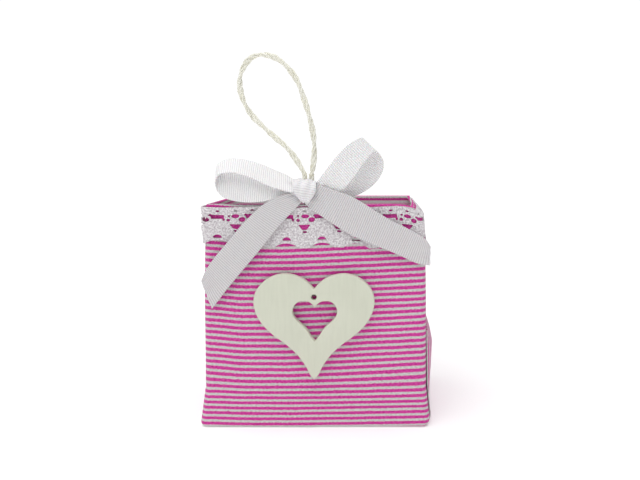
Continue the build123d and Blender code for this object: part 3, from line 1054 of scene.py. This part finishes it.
KNOT = [
    ((-7.4, -24.2, 92.1), (-1.8, -24.2, 91.7), 0.2),
    ((-9.0, -22.4, 95.2), (-0.3, -22.4, 94.8), 0.5),
    ((-9.1, -23.2, 97.9), (-0.0, -23.2, 97.5), 0.5),
    ((-8.6, -26.3, 99.2), (0.4, -26.3, 98.5), 0.4),
    ((-8.2, -29.8, 98.6), (0.9, -29.8, 97.5), 0.6),
    ((-8.1, -31.4, 96.5), (0.9, -31.4, 95.0), 0.7),
    ((-7.3, -31.6, 93.9), (0.0, -31.6, 92.8), 0.7),
    ((-5.7, -30.6, 91.7), (-1.4, -30.6, 90.9), 0.5),
    ((-5.4, -28.4, 90.6), (-1.9, -28.4, 90.1), 0.2),
    ((-6.2, -26, 91.2), (-2.0, -26, 90.8), 0.0),
]
LEFT_LOOP = [
    ((-6.3, -29.2, 93.6), (-6.8, -25.5, 97.4), 0.0),
    ((-8.9, -30, 94.2), (-9.7, -24.5, 99.8), 0.2),
    ((-15.0, -31, 96.0), (-15.9, -23.5, 102.7), 0.4),
    ((-20.4, -31.4, 98.2), (-21.2, -23.2, 104.9), 0.5),
    ((-25.6, -31.6, 100.6), (-26.5, -23, 106.5), 0.4),
    ((-30.5, -31.5, 101.9), (-31.7, -23, 107.4), 0.3),
    ((-34.9, -31.2, 101.9), (-36.4, -23, 107.0), 0.1),
    ((-37.6, -30.6, 100.7), (-38.9, -23.4, 105.6), 0.0),
    ((-38.8, -29.8, 98.0), (-39.7, -24.2, 104.4), 0.0),
    ((-38.4, -29.3, 95.2), (-38.8, -25.4, 103.8), 0.0),
    ((-36.7, -29.2, 92.8), (-36.6, -26.2, 103.6), 0.0),
    ((-33.1, -29.3, 91.2), (-32.8, -26.8, 103.0), 0.0),
    ((-28.2, -29.4, 90.4), (-27.6, -27, 102.0), 0.1),
    ((-22.1, -29.5, 90.4), (-21.7, -27, 99.8), 0.1),
    ((-16.6, -29.2, 91.2), (-16.2, -26.6, 97.8), 0.0),
    ((-11.5, -28.6, 92.8), (-11.5, -26, 96.6), 0.0),
    ((-6.9, -28, 93.9), (-7.1, -26, 96.2), 0.0),
]
RIGHT_LOOP = [
    ((-0.9, -28.2, 96.3), (3.0, -28, 91.1), 0.0),
    ((1.8, -28.8, 99.3), (6.6, -28.4, 92.4), 0.1),
    ((4.4, -29.6, 102.7), (11.0, -29, 95.0), 0.2),
    ((7.2, -30.4, 106.2), (14.3, -29.8, 98.3), 0.3),
    ((10.2, -30.8, 109.7), (17.3, -30.2, 102.4), 0.3),
    ((13.1, -30.6, 112.7), (19.9, -30, 106.1), 0.2),
    ((15.9, -29.8, 114.6), (22.1, -29, 108.6), 0.1),
    ((18.0, -28, 115.7), (23.5, -27, 110.1), 0.0),
    ((19.1, -25.6, 115.7), (24.9, -24.4, 110.0), 0.0),
    ((19.8, -23.4, 114.6), (26.4, -22.2, 108.6), 0.0),
    ((19.8, -22, 112.2), (27.5, -21.2, 106.2), 0.0),
    ((19.0, -21.6, 109.4), (27.5, -21, 103.3), 0.0),
    ((17.5, -21.8, 106.6), (26.3, -21.3, 100.5), 0.0),
    ((15.5, -22.3, 103.7), (24.2, -22, 97.6), 0.0),
    ((12.7, -23, 101.3), (20.8, -23, 94.8), 0.0),
    ((8.3, -24.2, 98.9), (14.8, -24.2, 92.1), 0.0),
    ((2.9, -26, 97.4), (7.7, -26, 91.4), 0.0),
    ((-1.4, -26.8, 96.2), (0.5, -26.8, 93.0), 0.0),
]
LEFT_TAIL = [
    ((-8.4, -28.6, 94.3), (-4.4, -28.8, 91.2), 0.0),
    ((-12.2, -29.2, 93.4), (-5.3, -29.4, 90.0), 0.1),
    ((-16.1, -29.6, 91.8), (-7.0, -29.8, 88.1), 0.2),
    ((-20.0, -30, 89.4), (-10.6, -30.1, 84.4), 0.3),
    ((-24.3, -30.3, 85.6), (-15.3, -30.3, 79.1), 0.4),
    ((-29.4, -30.6, 80.1), (-20.8, -30.6, 72.2), 0.3),
    ((-34.3, -30.7, 74.3), (-25.8, -30.7, 66.2), 0.3),
    ((-39.4, -30.6, 68.2), (-30.8, -30.6, 60.3), 0.2),
    ((-42.6, -30.4, 63.6), (-35.1, -30.3, 55.0), 0.1),
    ((-44.6, -30.2, 59.2), (-40.6, -30, 48.0), 0.0),
]
RIGHT_TAIL = [
    ((-2.0, -28.6, 96.7), (-4.4, -28.8, 91.6), 0.0),
    ((0.8, -29.2, 97.3), (-3.7, -29.6, 90.1), 0.1),
    ((4.8, -29.8, 96.2), (-1.1, -30, 87.7), 0.3),
    ((9.5, -30.2, 94.6), (3.4, -30.3, 84.6), 0.4),
    ((14.3, -30.5, 92.9), (8.7, -30.6, 81.1), 0.4),
    ((19.4, -30.7, 90.1), (14.3, -30.7, 77.7), 0.3),
    ((24.9, -30.8, 86.6), (20.1, -30.8, 75.1), 0.3),
    ((30.4, -30.8, 83.3), (25.8, -30.7, 72.7), 0.3),
    ((35.9, -30.6, 80.6), (31.3, -30.5, 70.5), 0.2),
    ((40.6, -30.3, 78.0), (36.5, -30.2, 68.1), 0.1),
    ((44.2, -29.9, 75.6), (41.5, -29.8, 65.9), 0.0),
    ((46.1, -29.5, 72.8), (45.9, -29.4, 65.2), 0.0),
]


def gathered(name, finish):
    """The bunched ribbon that fills the knot, where the loops and tails meet, in front of the cord:
    a lump with pleats along it, its sizes in mm."""
    left, right = -8.3, 0.7
    lump_x, lump_length = -3.8, 6.2
    lump_y, lump_depth = -28.6, 1.95
    lump_z, lump_height = 95.1, 2.7
    pleat_width = 2.4
    along = np.linspace(left, right, 30)
    turn = np.linspace(0, 2 * math.pi, 65)
    across, around = along[:, None], turn[None, :-1]
    swell = np.sqrt(1 - ((across - lump_x) / lump_length) ** 2)
    pleats = 0.13 * np.cos(9 * around + 0.5 * across) + 0.05 * np.cos(4 * around - across)
    swell = swell * (1 + pleats)
    y = lump_y + lump_depth * swell * np.cos(around)
    z = lump_z + lump_height * swell * np.sin(around)
    points = np.stack(np.broadcast_arrays(across, y, z), axis=-1)
    columns = len(turn) - 1
    beside = turn * pleat_width * MM
    faces, threads = net(len(along), columns, False, True, beside, along * MM)
    threads = [(v, u) for u, v in threads]
    last = (len(along) - 1) * columns
    for face in (list(range(columns))[::-1], list(range(last, last + columns))):
        faces.append(face)
        threads.extend([(0.0, beside[i % columns]) for i in face])
    return piece(name, points * MM, faces, threads, finish)


class GIFTBAG_OT_bow(bpy.types.Operator):
    """The bow: two loops, two tails and the knot"""

    bl_idname = "giftbag.bow"
    bl_label = "Bow"

    def execute(self, context):
        bow = context.scene.giftbag_bow
        finish = grosgrain_polyester(bow, "woven", "#C5C1C4", bow.ribbon)
        # The loops' copy is painted lighter all over, as painted light for the light that comes
        # through a single layer in the air and from above; the knot's copy is painted lighter too,
        # with fainter painted shade between its ribs.
        loop_painted_light = grosgrain_polyester(bow, "single_layer_painted_light", "#E4E2E4", "#FFFFFF")
        # Painted light: the knot's copy is lighter than the tails' ribbon, and the painted shade
        # between its ribs is fainter.
        pulled = grosgrain_polyester(bow, "pulled_tight_painted_light", "#DDDADD", "#F6F5F6")
        for side, stations in (("left", LEFT_LOOP), ("right", RIGHT_LOOP)):
            nodes = (f"bow_loop_{side}",)
            ribbon(f"ribbon_loop_{side}", stations, bow, loop_painted_light, "root", nodes)
        for side, stations in (("left", LEFT_TAIL), ("right", RIGHT_TAIL)):
            nodes = (f"ribbon_tail_{side}",)
            made = ribbon(f"ribbon_end_{side}", stations, bow, finish, None, nodes)
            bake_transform(made)
        tight = (0.00030, 2.4, 1.0)
        ribbon("ribbon_knot", KNOT, bow, pulled, "root", ("bow_knot",), folds=tight, ribs=0.3)
        gathered("ribbon_gathered", pulled)
        return {"FINISHED"}


# ---- cord ----------------------------------------------------------------------------------------
# The loop's route, from the right strand over the top to the left one, in mm beside and above the
# joint.
LOOP_ROUTE = [
    (1.35, 0.0), (2.8, 7.0), (2.0, 18.5), (-1.3, 30.0), (-5.0, 40.0), (-12.8, 47.6),
    (-22.8, 48.0), (-28.2, 38.0), (-24.6, 25.6), (-15.4, 16.8), (-6.0, 9.2), (-1.35, 0.0),
]


def spline_line(points):
    """The points that a NURBS spline gives for its control points."""
    route = bpy.data.curves.new("route", "CURVE")
    route.dimensions = "3D"
    route.resolution_u = 16
    spline = route.splines.new("NURBS")
    spline.points.add(len(points) - 1)
    for point, at in zip(spline.points, points):
        point.co = (*at, 1.0)
    spline.order_u = 3
    spline.use_endpoint_u = True
    holder = bpy.data.objects.new("route", route)
    bpy.context.scene.collection.objects.link(holder)
    bpy.context.view_layer.update()
    mesh = bpy.data.meshes.new_from_object(holder)
    line = np.array([v.co for v in mesh.vertices])
    bpy.data.objects.remove(holder)
    bpy.data.meshes.remove(mesh)
    return line


def plied(line, cord, turned=0.0):
    """Points, faces and thread coordinates of yarns twisted into two plies along a line."""
    step = 0.00045
    line, run = flowing(line, int(np.linalg.norm(np.diff(line, axis=0), axis=1).sum() / step))
    tangent = directions(line, run)
    side = np.tile(np.array([0.0, 1.0, 0.0]), (len(line), 1))
    side -= tangent * (side * tangent).sum(1, keepdims=True)
    side /= np.linalg.norm(side, axis=1, keepdims=True)
    other = np.cross(tangent, side)
    # Radius of a yarn, and how far a ply and a yarn in it lie off the middle.
    yarn = cord.diameter * 0.168
    ply = cord.diameter * 0.205
    lay = yarn * 1.15
    ring, yarn_round = 8, 0.0008
    count = len(line)
    edges = [yarn_round * j / ring for j in range(ring + 1)]
    points, faces, threads = [], [], []
    for p in range(2):
        for k in range(cord.yarns):
            ply_angle = 2 * math.pi * (run / cord.ply_pitch + p / 2) + turned
            yarn_angle = 2 * math.pi * (run / cord.yarn_pitch + k / cord.yarns) + p
            a = ply * np.cos(ply_angle) + lay * np.cos(yarn_angle)
            b = ply * np.sin(ply_angle) + lay * np.sin(yarn_angle)
            middle = line + side * a[:, None] + other * b[:, None]
            radius = (yarn * (1 + 0.10 * np.sin(run / 0.0031 + 2.1 * k + p)))[:, None]
            first = len(points) * count
            for j in range(ring):
                around = 2 * math.pi * j / ring
                outwards = side * math.cos(around) + other * math.sin(around)
                points.append(middle + outwards * radius)
            for j in range(ring):
                here, there = first + j * count, first + (j + 1) % ring * count
                for i in range(count - 1):
                    faces.append([here + i, there + i, there + i + 1, here + i + 1])
                    corners = ((i, j), (i, j + 1), (i + 1, j + 1), (i + 1, j))
                    threads.extend((run[place], edges[edge]) for place, edge in corners)
            start = [first + j * count for j in range(ring)]
            faces += [start[::-1], [at + count - 1 for at in start]]
            threads.extend([(run[0], 0.0)] * ring + [(run[-1], 0.0)] * ring)
    return np.array(points).reshape(-1, 3), faces, threads, line


class GIFTBAG_OT_cord(bpy.types.Operator):
    """The hanging loop of plied cotton, and its two ends down inside the front"""

    bl_idname = "giftbag.cord"
    bl_label = "Hanging cord"

    def execute(self, context):
        cord = context.scene.giftbag_cord
        finish = spun_cotton_plied(cord)
        x, y, z = TILT["pos_m"]
        route = [(x + right * MM, y, z + up * MM) for right, up in LOOP_ROUTE]
        points, faces, threads, centre = plied(spline_line(route), cord)
        loop = piece(
            "hanging_loop_cord",
            points,
            faces,
            threads,
            finish,
            body=None,
            replaced=("hanging_cord",),
        )
        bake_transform(loop)
        for side, turned in (("left", -0.7), ("right", 0.7)):
            low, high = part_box(f"cord_end_{side}")
            middle_x, middle_y = (low.x + high.x) / 2, (low.y + high.y) / 2
            heights = [low.z + t * (z + 0.0004 - low.z) for t in np.linspace(0, 1, 12)]
            down = np.array([(middle_x, middle_y, height) for height in heights])
            points, faces, threads, _ = plied(down, cord, turned)
            replaced = (f"cord_end_{side}",)
            piece(f"cord_tail_{side}", points, faces, threads, finish, replaced=replaced)
        refinish("cord_glue", hot_melt_glue_set())
        return {"FINISHED"}


# ---- stage ---------------------------------------------------------------------------------------
class GIFTBAG_OT_stage(bpy.types.Operator):
    """Paper floor, soft light from above and the camera"""

    bl_idname = "giftbag.stage"
    bl_label = "Stage"

    reach = 12.0  # from the middle of the floor to its edge
    horizon = 0.16  # light at the horizon, as a share of the light overhead
    backdrop = 1.05
    key_angle, key_tilt = 70, (14, -11)  # degrees
    camera_place = (0.0253, -0.262, 0.1073)
    camera_pitch = 2.5  # degrees below level
    camera_shift = (-0.0908, -0.086)

    def execute(self, context):
        scene = context.scene
        stage = scene.giftbag_stage
        self.lay_floor(scene, stage)
        self.light(scene, stage)
        self.aim_camera(scene, stage)
        scene.view_settings.view_transform = "Standard"
        return {"FINISHED"}

    def lay_floor(self, scene, stage):
        """A sheet of background paper, at the height of the bag's foot."""
        mesh = bpy.data.meshes.new("paper_floor")
        ends = ((-1, -1), (1, -1), (1, 1), (-1, 1))
        corners = [(x * self.reach, y * self.reach, 0) for x, y in ends]
        mesh.from_pydata(corners, [], [(0, 1, 2, 3)])
        mesh.materials.append(background_paper_uncoated(stage))
        floor = bpy.data.objects.new("paper_floor", mesh)
        floor.location.z = cad_low.z
        scene.collection.objects.link(floor)

    def light(self, scene, stage):
        """A dome that is brighter overhead, as under a large ceiling softbox, and one soft lamp."""
        world = bpy.data.worlds.new("even_light")
        world.use_nodes = True
        tree = world.node_tree
        tree.nodes.clear()
        rays = add_node(tree, "LightPath")
        towards = add_node(tree, "TexCoord").outputs["Generated"]
        ways = add_node(tree, "SeparateXYZ", {0: towards})
        dome = add_node(
            tree,
            "MapRange",
            {"Value": ways.outputs[2], "To Min": self.horizon * stage.sky, "To Max": stage.sky},
        )
        lights = [
            add_node(tree, "Background", {"Color": (1, 1, 1, 1), "Strength": amount})
            for amount in (dome, self.backdrop)
        ]
        mixed = add_node(tree, "MixShader", {0: rays, 1: lights[0], 2: lights[1]})
        add_node(tree, "OutputWorld", {0: mixed})
        scene.world = world
        lamp = bpy.data.lights.new("soft_key", "SUN")
        lamp.energy = stage.key
        lamp.angle = math.radians(self.key_angle)
        key = bpy.data.objects.new("soft_key", lamp)
        key.rotation_euler = (*(math.radians(angle) for angle in self.key_tilt), 0)
        scene.collection.objects.link(key)

    def aim_camera(self, scene, stage):
        """A camera in front of the bag, a little above its middle."""
        camera = bpy.data.objects.new("camera", bpy.data.cameras.new("camera"))
        camera.data.lens = stage.lens
        camera.data.sensor_width = 36
        camera.data.clip_start = 0.01
        camera.data.shift_x, camera.data.shift_y = self.camera_shift
        camera.location = self.camera_place
        camera.rotation_euler = (math.pi / 2 - math.radians(self.camera_pitch), 0, 0)
        scene.collection.objects.link(camera)
        scene.camera = camera


class GIFTBAG_PT_panel(bpy.types.Panel):
    """Everything that builds the bag"""

    bl_label = "Gift bag"
    bl_space_type = "VIEW_3D"
    bl_region_type = "UI"
    bl_category = "Gift bag"

    def draw(self, context):
        for group in GROUPS:
            box = self.layout.box()
            for name in group.__annotations__:
                box.prop(getattr(context.scene, GROUPS[group]), name)
        for operator in OPERATORS:
            self.layout.operator(operator.bl_idname)


GROUPS = {
    GiftBagCloth: "giftbag_cloth",
    GiftBagLace: "giftbag_lace",
    GiftBagBow: "giftbag_bow",
    GiftBagHeart: "giftbag_heart",
    GiftBagCord: "giftbag_cord",
    GiftBagStage: "giftbag_stage",
}
OPERATORS = (
    GIFTBAG_OT_stage,
    GIFTBAG_OT_cord,
    GIFTBAG_OT_card,
    GIFTBAG_OT_wall_cloth,
    GIFTBAG_OT_base_strip,
    GIFTBAG_OT_lace,
    GIFTBAG_OT_heart,
    GIFTBAG_OT_bow,
)


def register():
    for group, name in GROUPS.items():
        bpy.utils.register_class(group)
        setattr(bpy.types.Scene, name, PointerProperty(type=group))
    for operator in OPERATORS:
        bpy.utils.register_class(operator)
    bpy.utils.register_class(GIFTBAG_PT_panel)


def unregister():
    bpy.utils.unregister_class(GIFTBAG_PT_panel)
    for operator in reversed(OPERATORS):
        bpy.utils.unregister_class(operator)
    for group, name in reversed(GROUPS.items()):
        delattr(bpy.types.Scene, name)
        bpy.utils.unregister_class(group)


def main():
    """Builds every piece in order."""
    register()
    for operator in OPERATORS:
        family, name = operator.bl_idname.split(".")
        getattr(getattr(bpy.ops, family), name)()


if __name__ == "__main__":
    main()
